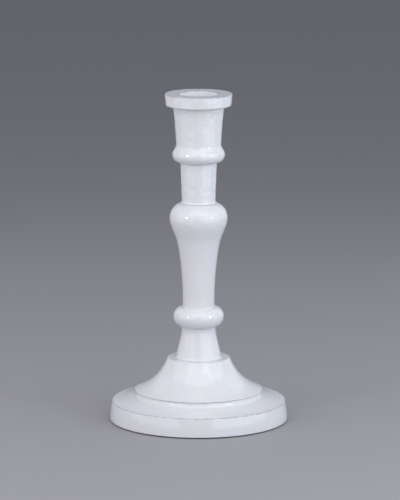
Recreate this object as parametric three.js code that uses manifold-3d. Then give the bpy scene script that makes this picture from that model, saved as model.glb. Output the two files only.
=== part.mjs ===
// A wooden candlestick for one household dinner candle, turned in four lengths and painted white.
// Two boards make the base, a baluster stem is tenoned into it, and the socket is dowelled on top.
// Millimetres, +Z up. The origin is the middle of the felt's underside, where the candlestick stands.
import * as THREE from "three";
import { mergeVertices } from "three/addons/utils/BufferGeometryUtils.js";
import Module from "manifold-3d";

const wasm = await Module();
wasm.setup();

// ---- Clearances ----

const glueLine = 0.1; // between two turned faces that are glued together
const glueClearance = 0.15; // around a tenon or a dowel, all the way round
const endGap = 0.5; // left at the end of a tenon or a dowel for spare glue
const screwClearance = 0.2; // around a screw or a washer, and under its head
const cupClearance = 0.12; // between the metal cup and the wood
const feltClearance = 0.4; // around the felt in its recess

// ---- Felt pad ----

const feltInset = 7.4; // from the foot's outer edge in to the edge of the felt
const feltThickness = 2;
const feltProud = 0.6; // how far the pad stands out below the wood
const feltEdge = 0.3;

// ---- Plinth, the lower board of the base ----

const plinthHeight = 17.05;
const plinthFootRadius = 51.4;
const plinthSideFlare = 1.3; // how much wider the foot is than the arris above it
const plinthSideHeight = 10.85;
const plinthFootRound = 0.15;
const coveSpread = 2.25; // how far past the dome's edge the cove runs out into the sloping top
const coveFootHeight = 13.55;
const coveUndercut = 0.6; // how far under the dome's edge the cove starts
const screwWeb = 3.2; // wood left between the counterbore and the hole for the tenon
const plinthSideSweep = { leave: 91, leavePull: 0.4, arrive: 101, arrivePull: 0.4 };
const plinthTopSweep = { leave: 173, leavePull: 0.4, arrive: 155, arrivePull: 0.3 };
const coveSweep = { leave: 155, leavePull: 0.45, arrive: 90, arrivePull: 0.45 };

// ---- Dome, the upper board of the base ----

const domeHeight = 18.95;
const domeRadius = 36.95;
const domeEdgeHeight = 0.2;
const platformRadius = 18.15; // the small flat that the stem stands on
const platformRound = 0.35;
const domeSweep = { leave: 158, leavePull: 0.29, arrive: 112, arrivePull: 0.46 };

// ---- Stem ----

const tenonRadius = 8;
const tenonChamfer = 1;
const stemFootRadius = 14.6; // the little fillet round the foot of the stem
const neckFootRadius = 12.95;
const neckFootHeight = 0.9;
const neckTopRadius = 9.94;
const neckHeight = 18.15;
const lowerBeadRadius = 14.68;
const lowerBeadRound = 5.84; // radius of the bead's own rounding
const waistRadius = 9.19;
const waistLength = 4.48; // the plain stretch above the bead
const flareRadius = 13.79; // where the flare turns into the bulb
const flareHeight = 37.77;
const bulbRadius = 16.71;
const bulbRise = 9.89; // from the end of the flare to the widest place
const shoulderRound = 8.71; // radius of the bulb's rounded top
const shoulderHeight = 8.66;
const stemFootSweep = { leave: 172, leavePull: 0.4, arrive: 100, arrivePull: 0.4 };
const neckSweep = { leave: 100, leavePull: 0.35, arrive: 84, arrivePull: 0.28 };
const flareSweep = { leave: 90, leavePull: 0.25, arrive: 67, arrivePull: 0.22 };
const bulbSweep = { leave: 67, leavePull: 0.62, arrive: 90, arrivePull: 0.25 };

// ---- Dowel between the stem and the socket ----

const stemDowelRadius = 5;
const stemDowelLength = 29;
const stemDowelChamfer = 0.8;

// ---- Metal cup inside the socket ----

const cupMouthRadius = 11.35; // clear inside, for a candle 22 mm thick
const cupTaper = 0.3; // how much narrower the floor is than the mouth, in radius
const cupDepth = 20;
const cupWall = 0.4;
const cupSetback = 0.2; // how far the cup's lip lies below the rim
const dimpleMargin = 0.5; // round the screw's head in the dimple of the cup's floor
const dimpleSink = 0.1; // how far the screw's head lies below the floor that the candle stands on

// ---- Candle socket ----

const collarRadius = 10.45; // the little fillet round the foot of the socket
const collarHeight = 1.35;
const socketNeckFootRadius = 9.71;
const socketNeckTopRadius = 10.5;
const socketNeckHeight = 23.42; // from the stem to the bead
const socketBeadRadius = 15.16;
const socketBeadRound = 4.47;
const socketBeadTurn = 37; // degrees of the bead's rounding above its widest place
const bellFootWall = 1.39; // how much wider the foot of the bell is than the floor of the bore
const bellFootRise = 5.96; // from the middle of the bead to the foot of the bell
const bellTopWall = 2.91; // wood round the mouth of the bore, under the rim
const bellHeight = 21.52;
const bellFillet = 0.69;
const rimOverhang = 4.11; // from the top of the bell out to the foot of the rim
const rimFlare = 0.49;
const rimHeight = 7;
const rimFootRound = 1.03;
const rimTopRound = 0.38;
const collarSweep = { leave: 165, leavePull: 0.4, arrive: 88, arrivePull: 0.4 };
const beadTopSweep = { leave: 90 + socketBeadTurn, leavePull: 0.35, arrive: 88, arrivePull: 0.3 };
const bellSweep = { leave: 87.5, leavePull: 0.35, arrive: 81.7, arrivePull: 0.35 };
const rimFootSweep = { leave: 0, leavePull: 0.4, arrive: 88, arrivePull: 0.4 };

// ---- Screws, washer and base dowels ----

const baseScrew = {
  radius: 2.5, // over the thread
  length: 40, // below the head
  point: 5,
  headRadius: 4.6,
  headHeight: 2.8,
  slotWidth: 1.1,
  slotDepth: 1.3,
};
const cupScrew = {
  radius: 1.4,
  length: 12,
  point: 2.5,
  headRadius: 3.1,
  headHeight: 1,
  slotWidth: 0.6,
  slotDepth: 0.5,
};
const headSweep = { leave: 0, leavePull: 0.6, arrive: 90, arrivePull: 0.4 };
const washerRadius = 8.5;
const washerThickness = 1.2;
const counterboreRadius = 10;
const counterboreDepth = 5.2;
const baseDowelCount = 3;
const baseDowelRadius = 3;
const baseDowelLength = 16;
const baseDowelChamfer = 0.6;
const baseDowelCircle = 18; // how far from the middle the base dowels stand

// ---- Fineness of the faceted surfaces ----

const turnedFacets = 40;
const hardwareFacets = 20;
const curveSteps = 5;

// ---- Heights of the joints above the surface that the candlestick stands on ----

const plinthZ = feltProud;
const domeZ = plinthZ + plinthHeight + glueLine;
const stemZ = domeZ + domeHeight + glueLine;
const lowerBeadZ = neckHeight + lowerBeadRound;
const waistZ = lowerBeadZ + lowerBeadRound;
const flareZ = waistZ + waistLength;
const bulbZ = flareZ + flareHeight + bulbRise;
const stemHeight = bulbZ + shoulderHeight;
const socketZ = stemZ + stemHeight + glueLine;
const socketBeadZ = socketNeckHeight + socketBeadRound;
const bellZ = socketBeadZ + bellFootRise;
const rimZ = bellZ + bellHeight + bellFillet;
const socketHeight = rimZ + rimHeight;
const cupFloorZ = socketHeight - cupSetback - cupDepth;

// ---- What fits round what ----

const feltRadius = plinthFootRadius - feltInset;
const recessDepth = feltThickness - feltProud + glueLine;
const recessRadius = feltRadius + feltClearance;
const plinthArrisRadius = plinthFootRadius - plinthSideFlare;
const coveFootRadius = domeRadius + coveSpread;
const coveTopRadius = domeRadius - coveUndercut;
const counterboreRoof = recessDepth + counterboreDepth;
const mortiseRadius = tenonRadius + glueClearance;
const mortiseFloor = counterboreRoof + screwWeb;
const tenonLength = stemZ - plinthZ - mortiseFloor - endGap;
const washerZ = plinthZ + counterboreRoof - screwClearance - washerThickness;
const baseScrewZ = washerZ - screwClearance;
const baseScrewHoleRadius = baseScrew.radius + screwClearance;
const stemDowelHoleRadius = stemDowelRadius + glueClearance;
const stemDowelHoleDepth = stemDowelLength / 2 + endGap;
const cupFloorRadius = cupMouthRadius - cupTaper;
const boreMouthRadius = cupMouthRadius + cupWall + cupClearance;
const boreFloorRadius = cupFloorRadius + cupWall + cupClearance;
const boreFloorZ = cupFloorZ - cupWall - cupClearance;
const bellFootRadius = boreFloorRadius + bellFootWall;
const bellTopRadius = boreMouthRadius + bellTopWall;
const rimFootRadius = bellTopRadius + rimOverhang;
const rimRadius = rimFootRadius + rimFlare;
const cupScrewHoleRadius = cupScrew.radius + screwClearance;
const dimpleRadius = cupScrew.headRadius + dimpleMargin;
const dimpleDepth = screwClearance + cupScrew.headHeight + dimpleSink;
const cupScrewZ = cupFloorZ - dimpleDepth + screwClearance; // the underside of its head

// ---- Colours ----

const enamel = { color: 0xe6e8ec, roughness: 0.22, metalness: 0 };
const beech = { color: 0xcfa776, roughness: 0.7, metalness: 0 };
const steel = { color: 0x9a9ca0, roughness: 0.35, metalness: 1 };
const tinplate = { color: 0xdcdfe4, roughness: 0.25, metalness: 0 };
const felt = { color: 0x35523f, roughness: 1, metalness: 0 };

// ---- Profiles: x is the distance from the middle line, y is the height ----

/** Starts a profile at a point. */
function profileFrom(radius, height) {
  const profile = new THREE.Path();
  profile.moveTo(radius, height);
  return profile;
}

/** Draws straight lines through the given [radius, height] points. */
function linesTo(profile, ...corners) {
  for (const [radius, height] of corners) {
    profile.lineTo(radius, height);
  }
}

/**
 * Carries a profile on to a point in one smooth sweep. It leaves and arrives in directions given in
 * degrees, 0 outwards and 90 up. Each pull is the share of the straight distance over which the sweep
 * keeps its direction.
 */
function sweepTo(profile, radius, height, { leave, leavePull, arrive, arrivePull }) {
  const start = profile.currentPoint.clone();
  const end = new THREE.Vector2(radius, height);
  const distance = start.distanceTo(end);
  const handle = (direction, pull) => {
    const angle = THREE.MathUtils.degToRad(direction);
    return new THREE.Vector2(Math.cos(angle), Math.sin(angle)).multiplyScalar(pull * distance);
  };
  const first = start.add(handle(leave, leavePull));
  const second = end.clone().sub(handle(arrive, arrivePull));
  profile.bezierCurveTo(first.x, first.y, second.x, second.y, end.x, end.y);
}

/** Rounds a bead outwards, in an arc about its centre from one angle to another, in degrees. */
function beadArc(profile, centreRadius, centreHeight, round, fromAngle, toAngle) {
  const from = THREE.MathUtils.degToRad(fromAngle);
  const to = THREE.MathUtils.degToRad(toAngle);
  profile.absarc(centreRadius, centreHeight, round, from, to, false);
}

/** The angle, in degrees, at which a bead's arc stands over a given radius. */
function angleOverRadius(centreRadius, round, radius) {
  return THREE.MathUtils.radToDeg(Math.acos((radius - centreRadius) / round));
}

// ---- Solids ----

/** Turns a profile about the z axis. */
function turned(profile, facets) {
  const geometry = new THREE.LatheGeometry(profile.getPoints(curveSteps), facets);
  geometry.rotateX(Math.PI / 2);
  return geometry;
}

/** Makes a closed geometry into a solid that can be cut. */
function toSolid(geometry) {
  const bare = geometry.clone();
  bare.deleteAttribute("normal");
  bare.deleteAttribute("uv");
  const merged = mergeVertices(bare, 1e-4);
  const mesh = new wasm.Mesh({
    numProp: 3,
    vertProperties: merged.attributes.position.array,
    triVerts: new Uint32Array(merged.index.array),
  });
  return new wasm.Manifold(mesh);
}

/** Makes a cut solid into a geometry again. */
function toGeometry(solid) {
  const { numProp, numVert, vertProperties, triVerts } = solid.getMesh();
  const positions = new Float32Array(numVert * 3);
  for (let vertex = 0; vertex < numVert; vertex += 1) {
    const start = vertex * numProp;
    positions.set(vertProperties.subarray(start, start + 3), vertex * 3);
  }
  const geometry = new THREE.BufferGeometry();
  geometry.setAttribute("position", new THREE.BufferAttribute(positions, 3));
  geometry.setIndex(new THREE.BufferAttribute(triVerts, 1));
  geometry.computeVertexNormals();
  return geometry;
}

/** Cuts one geometry with several others. */
function cut(geometry, tools) {
  const solid = tools.map(toSolid).reduce((rest, tool) => rest.subtract(tool), toSolid(geometry));
  return toGeometry(solid);
}

/** A named piece, placed at a height. */
function piece(name, geometry, finish, height) {
  const mesh = new THREE.Mesh(geometry, new THREE.MeshStandardMaterial(finish));
  mesh.name = name;
  mesh.position.z = height;
  return mesh;
}

// ---- Felt pad ----

function makeFeltPad() {
  const profile = profileFrom(0, 0);
  linesTo(profile, [feltRadius - feltEdge, 0], [feltRadius, feltEdge]);
  linesTo(profile, [feltRadius, feltThickness], [0, feltThickness]);
  return piece("felt_pad", turned(profile, turnedFacets), felt, 0);
}

// ---- Base dowels ----

/** The angles at which the base dowels stand round the middle. */
function baseDowelAngles() {
  const firstAngle = Math.PI / 2;
  const step = (2 * Math.PI) / baseDowelCount;
  return Array.from({ length: baseDowelCount }, (_, index) => firstAngle + index * step);
}

/** A round pin with chamfered ends, from z = 0 up. */
function pinGeometry(radius, length, chamfer) {
  const profile = profileFrom(0, 0);
  linesTo(profile, [radius - chamfer, 0], [radius, chamfer], [radius, length - chamfer]);
  linesTo(profile, [radius - chamfer, length], [0, length]);
  return turned(profile, hardwareFacets);
}

/** The holes for the base dowels, centred on the joint, as tools to cut either board with. */
function baseDowelHoles(jointHeight) {
  const depth = baseDowelLength + 2 * endGap;
  return baseDowelAngles().map((angle) => {
    const hole = pinGeometry(baseDowelRadius + glueClearance, depth, baseDowelChamfer);
    const x = baseDowelCircle * Math.cos(angle);
    const y = baseDowelCircle * Math.sin(angle);
    return hole.translate(x, y, jointHeight - depth / 2);
  });
}

function makeBaseDowels() {
  return baseDowelAngles().map((angle, index) => {
    const geometry = pinGeometry(baseDowelRadius, baseDowelLength, baseDowelChamfer);
    const bottom = domeZ - glueLine / 2 - baseDowelLength / 2;
    const mesh = piece(`base_dowel_${index + 1}`, geometry, beech, bottom);
    mesh.position.x = baseDowelCircle * Math.cos(angle);
    mesh.position.y = baseDowelCircle * Math.sin(angle);
    return mesh;
  });
}

// ---- Plinth ----

function makePlinth() {
  const profile = profileFrom(baseScrewHoleRadius, mortiseFloor);
  linesTo(profile, [baseScrewHoleRadius, counterboreRoof], [counterboreRadius, counterboreRoof]);
  linesTo(profile, [counterboreRadius, recessDepth], [recessRadius, recessDepth], [recessRadius, 0]);
  linesTo(profile, [plinthFootRadius - plinthFootRound, 0], [plinthFootRadius, plinthFootRound]);
  sweepTo(profile, plinthArrisRadius, plinthSideHeight, plinthSideSweep);
  sweepTo(profile, coveFootRadius, coveFootHeight, plinthTopSweep);
  sweepTo(profile, coveTopRadius, plinthHeight, coveSweep);
  linesTo(profile, [mortiseRadius, plinthHeight], [mortiseRadius, mortiseFloor]);
  profile.closePath();
  const geometry = cut(turned(profile, turnedFacets), baseDowelHoles(plinthHeight + glueLine / 2));
  return piece("plinth", geometry, enamel, plinthZ);
}

// ---- Dome ----

function makeDome() {
  const profile = profileFrom(mortiseRadius, 0);
  linesTo(profile, [domeRadius - domeEdgeHeight / 2, 0], [domeRadius, domeEdgeHeight / 2]);
  linesTo(profile, [domeRadius - domeEdgeHeight / 2, domeEdgeHeight]);
  sweepTo(profile, platformRadius, domeHeight - platformRound, domeSweep);
  linesTo(profile, [platformRadius - platformRound, domeHeight], [mortiseRadius, domeHeight]);
  profile.closePath();
  const geometry = cut(turned(profile, turnedFacets), baseDowelHoles(-glueLine / 2));
  return piece("dome", geometry, enamel, domeZ);
}

// ---- Screw and washer that draw the stem down into the base ----

/** A slotted screw, point up, with the underside of its head at z = 0. */
function screwGeometry({ radius, length, point, headRadius, headHeight, slotWidth, slotDepth }) {
  const profile = profileFrom(0, -headHeight);
  sweepTo(profile, headRadius, 0, headSweep);
  linesTo(profile, [radius, 0], [radius, length - point], [0, length]);
  const slotLength = 3 * headRadius; // well past both sides of the head
  const slot = new THREE.BoxGeometry(slotLength, slotWidth, 2 * slotDepth);
  return cut(turned(profile, hardwareFacets), [slot.translate(0, 0, -headHeight)]);
}

function makeScrewWasher() {
  const profile = profileFrom(baseScrewHoleRadius, 0);
  linesTo(profile, [washerRadius, 0], [washerRadius, washerThickness]);
  linesTo(profile, [baseScrewHoleRadius, washerThickness]);
  profile.closePath();
  return piece("screw_washer", turned(profile, hardwareFacets), steel, washerZ);
}

function makeBaseScrew() {
  return piece("base_screw", screwGeometry(baseScrew), steel, baseScrewZ);
}

// ---- Stem ----

/** The tenon, from the end of its screw hole round to the shoulder that sits on the platform. */
function tenonProfile() {
  const holeEnd = baseScrewZ + baseScrew.length + endGap - stemZ;
  const holeTaperStart = holeEnd - baseScrew.point / 2;
  const profile = profileFrom(0, holeEnd);
  linesTo(profile, [baseScrewHoleRadius, holeTaperStart], [baseScrewHoleRadius, -tenonLength]);
  linesTo(profile, [tenonRadius - tenonChamfer, -tenonLength], [tenonRadius, tenonChamfer - tenonLength]);
  linesTo(profile, [tenonRadius, 0], [stemFootRadius, 0]);
  return profile;
}

/** The neck and the bead above it, up to the waist. */
function lowerBeadOnto(profile) {
  const beadCentre = lowerBeadRadius - lowerBeadRound;
  const beadStart = angleOverRadius(beadCentre, lowerBeadRound, neckTopRadius);
  const beadEnd = angleOverRadius(beadCentre, lowerBeadRound, waistRadius);
  const beadFoot = lowerBeadZ - lowerBeadRound * Math.sin(THREE.MathUtils.degToRad(beadStart));
  sweepTo(profile, neckTopRadius, beadFoot, neckSweep);
  beadArc(profile, beadCentre, lowerBeadZ, lowerBeadRound, -beadStart, beadEnd);
}

function makeLowerStem() {
  const profile = tenonProfile();
  sweepTo(profile, neckFootRadius, neckFootHeight, stemFootSweep);
  lowerBeadOnto(profile);
  linesTo(profile, [waistRadius, flareZ]);
  sweepTo(profile, flareRadius, flareZ + flareHeight, flareSweep);
  sweepTo(profile, bulbRadius, bulbZ, bulbSweep);
  const shoulderEnd = THREE.MathUtils.radToDeg(Math.asin(shoulderHeight / shoulderRound));
  beadArc(profile, bulbRadius - shoulderRound, bulbZ, shoulderRound, 0, shoulderEnd);
  const holeFloor = stemHeight - stemDowelHoleDepth;
  linesTo(profile, [stemDowelHoleRadius, stemHeight], [stemDowelHoleRadius, holeFloor], [0, holeFloor]);
  return piece("lower_stem", turned(profile, turnedFacets), enamel, stemZ);
}

function makeStemDowel() {
  const geometry = pinGeometry(stemDowelRadius, stemDowelLength, stemDowelChamfer);
  return piece("stem_dowel", geometry, beech, socketZ - glueLine / 2 - stemDowelLength / 2);
}

// ---- Candle socket ----

/** The outside of the socket, from its foot to the top of the rim. */
function socketOutside(profile) {
  sweepTo(profile, socketNeckFootRadius, collarHeight, collarSweep);
  linesTo(profile, [socketNeckTopRadius, socketNeckHeight]);
  beadArc(profile, socketBeadRadius - socketBeadRound, socketBeadZ, socketBeadRound, -90, socketBeadTurn);
  sweepTo(profile, bellFootRadius, bellZ, beadTopSweep);
  sweepTo(profile, bellTopRadius, bellZ + bellHeight, bellSweep);
  linesTo(profile, [bellTopRadius + bellFillet, rimZ], [rimFootRadius - rimFootRound, rimZ]);
  sweepTo(profile, rimFootRadius, rimZ + rimFootRound, rimFootSweep);
  linesTo(profile, [rimRadius, socketHeight - rimTopRound], [rimRadius - rimTopRound, socketHeight]);
}

function makeCandleSocket() {
  const profile = profileFrom(0, stemDowelHoleDepth);
  linesTo(profile, [stemDowelHoleRadius, stemDowelHoleDepth], [stemDowelHoleRadius, 0]);
  linesTo(profile, [collarRadius, 0]);
  socketOutside(profile);
  const pitRadius = dimpleRadius + cupWall + cupClearance;
  const pitFloorZ = boreFloorZ - dimpleDepth;
  const pilotEnd = cupScrewZ - cupScrew.length - endGap;
  linesTo(profile, [boreMouthRadius, socketHeight], [boreFloorRadius, boreFloorZ], [pitRadius, boreFloorZ]);
  linesTo(profile, [pitRadius, pitFloorZ], [cupScrewHoleRadius, pitFloorZ]);
  linesTo(profile, [cupScrewHoleRadius, pilotEnd + cupScrew.point / 2], [0, pilotEnd]);
  return piece("candle_socket", turned(profile, turnedFacets), enamel, socketZ);
}

// ---- Metal cup and its screw ----

function makeCandleCup() {
  const dimpleUnderside = -dimpleDepth - cupWall;
  const profile = profileFrom(cupScrewHoleRadius, dimpleUnderside);
  linesTo(profile, [dimpleRadius + cupWall, dimpleUnderside], [dimpleRadius + cupWall, -cupWall]);
  linesTo(profile, [cupFloorRadius + cupWall, -cupWall], [cupMouthRadius + cupWall, cupDepth]);
  linesTo(profile, [cupMouthRadius, cupDepth], [cupFloorRadius, 0], [dimpleRadius, 0]);
  linesTo(profile, [dimpleRadius, -dimpleDepth], [cupScrewHoleRadius, -dimpleDepth]);
  profile.closePath();
  return piece("candle_cup", turned(profile, turnedFacets), tinplate, socketZ + cupFloorZ);
}

function makeCupScrew() {
  const mesh = piece("cup_screw", screwGeometry(cupScrew), steel, socketZ + cupScrewZ);
  mesh.rotation.x = Math.PI; // point down
  return mesh;
}

// ---- The candlestick ----

const candlestick = new THREE.Group();
candlestick.add(makeFeltPad(), makePlinth(), makeDome(), ...makeBaseDowels());
candlestick.add(makeScrewWasher(), makeBaseScrew(), makeLowerStem(), makeStemDowel());
candlestick.add(makeCandleSocket(), makeCandleCup(), makeCupScrew());

export default candlestick;
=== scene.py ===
"""A turned wooden candlestick, painted by hand in white gloss enamel, for one dinner candle.

Two boards make its base, a baluster stem is tenoned into it, and the socket is dowelled on top.
The sections follow the candlestick as it is put together, from the plinth up, and the felt comes last.
Sizes are in millimetres and become metres where a mesh is made.
"""

import math

import bmesh
import bpy
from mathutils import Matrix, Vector


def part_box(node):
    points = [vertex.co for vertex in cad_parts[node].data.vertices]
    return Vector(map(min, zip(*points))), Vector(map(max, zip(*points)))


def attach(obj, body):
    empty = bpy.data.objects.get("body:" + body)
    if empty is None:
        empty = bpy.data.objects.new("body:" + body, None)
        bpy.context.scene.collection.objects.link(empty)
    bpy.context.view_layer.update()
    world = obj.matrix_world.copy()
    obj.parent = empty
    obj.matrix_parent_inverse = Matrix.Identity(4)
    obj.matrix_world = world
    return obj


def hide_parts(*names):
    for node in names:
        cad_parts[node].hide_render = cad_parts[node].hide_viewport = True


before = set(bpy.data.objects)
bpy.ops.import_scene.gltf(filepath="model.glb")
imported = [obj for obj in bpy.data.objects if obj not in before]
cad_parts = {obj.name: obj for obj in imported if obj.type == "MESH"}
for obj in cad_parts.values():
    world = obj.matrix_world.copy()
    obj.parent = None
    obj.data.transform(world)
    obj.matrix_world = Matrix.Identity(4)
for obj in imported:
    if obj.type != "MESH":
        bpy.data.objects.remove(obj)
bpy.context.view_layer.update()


# ---- Plinth ---------------------------------------------------------------------------------------
# The lower board of the base: a beech disc, faced and turned with a slightly flared side, a sloping
# top and a cove that runs up under the dome. It is painted outside and left bare inside, where it is
# bored for the stem's tenon, the screw, its washer and three dowels.

MM = 0.001
PLINTH_HEIGHT = 17.05
PLINTH_FOOT_RADIUS = 51.4
PLINTH_FOOT_ROUND = 0.15
PLINTH_ARRIS_RADIUS = 50.1
PLINTH_SIDE_HEIGHT = 10.85
COVE_FOOT_RADIUS = 39.2
COVE_FOOT_HEIGHT = 13.55
COVE_TOP_RADIUS = 36.35
FELT_RECESS_RADIUS = 44.4
FELT_RECESS_DEPTH = 1.5
COUNTERBORE_RADIUS = 10
COUNTERBORE_ROOF = 6.7
BASE_SCREW_HOLE_RADIUS = 2.7
MORTISE_RADIUS = 8.15
MORTISE_FLOOR = 9.9
BASE_DOWEL_COUNT = 3
BASE_DOWEL_CIRCLE = 18
BASE_DOWEL_HOLE_RADIUS = 3.15
BASE_DOWEL_HOLE_DEPTH = 8.5
PLINTH_STEPS = 256  # steps round it
PLINTH_SEED = 1.0  # which of its possible patterns of lumps it has
PLINTH_LUMPS = 0.3  # height of its lumps, against that of the fully brushed socket
PAINT_CREEP = 3  # how far paint runs in past the edge of a joint
UNDERSIDE = 0.02  # lower than this is its underside
DRILL_FACETS = 32

FINE_STEP = 0.08  # spacing at which an outline is first laid out
ROUND_STEP = 5  # degrees that a finished outline may turn from one point to the next
LONG_STEP = 0.6  # longest stretch between two points of a finished outline
PAINT_ROUND = 0.22  # how far paint and sandpaper soften a corner
WEAR_REACH = 0.6  # how far from an arris its paint is thin
CREASE_REACH = 1.2  # how far from a crease the dust and painted shade in it reach
OPEN_DUST_AND_SHADE = 0.1  # dust and painted shade in a crease that faces up, open to the light and wiped, against one under an overhang
TURNED_STEPS = 192  # steps round a large turned piece
LUMP_SIZE = 3.5  # distance between the soft lumps that the brush leaves
BRUSHED = 0.36  # how far the lumps stand in and out, from the lowest to the highest possible


def lines_to(outline, *corners):
    """Draws straight lines through (radius, height) corners."""
    outline.extend(Vector(corner) for corner in corners)


def sweep_to(outline, radius, height, leave, leave_pull, arrive, arrive_pull):
    """Carries an outline on in one smooth sweep. Directions are in degrees, 0 outwards and 90 up, and
    a pull is the share of the straight distance over which the sweep keeps its direction."""
    start, end = outline[-1], Vector((radius, height))
    span = (end - start).length
    first = start + pull_handle(leave, leave_pull * span)
    second = end - pull_handle(arrive, arrive_pull * span)
    steps = math.ceil(span / FINE_STEP)
    for step in range(1, steps + 1):
        t = step / steps
        u = 1 - t
        outline.append(u**3 * start + 3 * u * u * t * first + 3 * u * t * t * second + t**3 * end)


def pull_handle(direction, length):
    """The handle at one end of a sweep."""
    angle = math.radians(direction)
    return Vector((math.cos(angle), math.sin(angle))) * length


def laid_out(outline, closed):
    """Points at even spacing along an outline."""
    corners = outline + outline[:1] if closed else outline
    points = []
    for start, end in zip(corners, corners[1:]):
        steps = max(1, round((end - start).length / FINE_STEP))
        points.extend(start.lerp(end, step / steps) for step in range(steps))
    return points if closed else points + [corners[-1]]


def averaged(points, reach, closed):
    """Each point moved to the middle of its neighbours within reach, which rounds the corners."""
    count = len(points)
    half = max(1, round(reach / FINE_STEP))
    found = []
    for index in range(count):
        near = half if closed else min(half, index, count - 1 - index)
        total = Vector((0, 0))
        for shift in range(-near, near + 1):
            total += points[(index + shift) % count]
        found.append(total / (2 * near + 1))
    return found


def corner_depths(points, reach, closed):
    """How far each point stands out of its surroundings: above 0 on an arris, below 0 in a crease."""
    count = len(points)
    depths = []
    for index, middle in enumerate(averaged(points, reach, closed)):
        along = points[(index + 1) % count] - points[index - 1]
        outward = Vector((along.y, -along.x)).normalized()
        depths.append((points[index] - middle).dot(outward))
    return depths


def dust_and_shade_share(points, index):
    """How much dust and painted shade a crease gets: all of it where the outline faces down, under an
    overhang, less where it faces up.
    """
    along = points[(index + 1) % len(points)] - points[index - 1]
    return 1.0 if along.x > 0 else OPEN_DUST_AND_SHADE


def thinned(points, closed):
    """The indices of the points that are enough to keep the shape, close together on tight bends."""
    kept = [0]
    heading = (points[1] - points[0]).normalized()
    for index in range(1, len(points) - 1):
        ahead = (points[index + 1] - points[index]).normalized()
        turned_by = math.degrees(heading.angle(ahead, 0))
        if turned_by > ROUND_STEP or (points[index] - points[kept[-1]]).length > LONG_STEP:
            kept.append(index)
            heading = ahead
    return kept + [0 if closed else len(points) - 1]


def outline_mesh(
    name, outline, lift, painted, dry=None, worn=None, closed=False, paint_round=PAINT_ROUND
):
    """The outline of a turned piece as a chain of points in the XZ plane, in metres, with what the
    paint does at each of them: where it is painted, where end grain drank it dry and it is greyed further as
    painted shade, how much dust and painted shade its creases hold, and where hands and cloths have worn it."""
    raw = laid_out(outline, closed)
    calm = averaged(raw, CREASE_REACH, closed)
    soft = averaged(raw, paint_round, closed)
    arris_depths = corner_depths(raw, WEAR_REACH, closed)
    crease_depths = corner_depths(raw, CREASE_REACH, closed)
    dust_and_shade = [max(0.0, -depth) / CREASE_REACH for depth in crease_depths]
    kept = thinned(soft, closed)
    mesh = bpy.data.meshes.new(name)
    places = [(soft[index].x * MM, 0, (soft[index].y + lift) * MM) for index in kept]
    mesh.from_pydata(places, [(step, step + 1) for step in range(len(kept) - 1)], [])
    values = {
        "arris": [max(0.0, arris_depths[index]) / WEAR_REACH for index in kept],
        "crease": [dust_and_shade[index] * dust_and_shade_share(calm, index) for index in kept],
        "painted": [float(painted(soft[index])) for index in kept],
        "dry": [float(dry(soft[index])) if dry else 0.0 for index in kept],
    }
    if worn:
        values["arris"] = [depth * worn(soft[index]) for depth, index in zip(values["arris"], kept)]
    for label, row in values.items():
        mesh.attributes.new(label, "FLOAT", "POINT").data.foreach_set("value", row)
    return mesh


def add_node(tree, kind, inputs=None, **settings):
    """Adds a node with its settings, and links or sets its inputs by name or number."""
    node = tree.nodes.new(kind)
    for setting, value in settings.items():
        setattr(node, setting, value)
    for socket, value in (inputs or {}).items():
        if isinstance(value, bpy.types.NodeSocket):
            tree.links.new(value, node.inputs[socket])
        else:
            node.inputs[socket].default_value = value
    return node


def math_node(tree, operation, *values, kind="ShaderNodeMath"):
    """The result of a sum on one, two or three values."""
    return add_node(tree, kind, dict(enumerate(values)), operation=operation).outputs[0]


def new_tree(name, inputs):
    """A Geometry Nodes tree with one geometry in, one out, and named inputs as (name, kind)."""
    tree = bpy.data.node_groups.new(name, "GeometryNodeTree")
    tree.is_modifier = True
    tree.interface.new_socket("Geometry", in_out="INPUT", socket_type="NodeSocketGeometry")
    tree.interface.new_socket("Geometry", in_out="OUTPUT", socket_type="NodeSocketGeometry")
    for label, kind in inputs:
        tree.interface.new_socket(label, in_out="INPUT", socket_type=f"NodeSocket{kind}")
    return tree, tree.nodes.new("NodeGroupInput").outputs


def close_tree(tree, geometry, material):
    """Ends a tree: instances made real, and a material on what has none."""
    real = add_node(tree, "GeometryNodeRealizeInstances", {0: geometry}).outputs[0]
    coated = add_node(tree, "GeometryNodeSetMaterial", {"Geometry": real, "Material": material})
    add_node(tree, "NodeGroupOutput", {0: coated.outputs[0]})


OUTLINE_VALUES = ("arris", "crease", "painted", "dry")
SEAM_GAP = MM / 1000  # points of the skin that lie closer than this are one, at its seam and its poles
CRISP_ANGLE = 50  # an edge sharper than this, in degrees, is shaded as a corner


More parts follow.
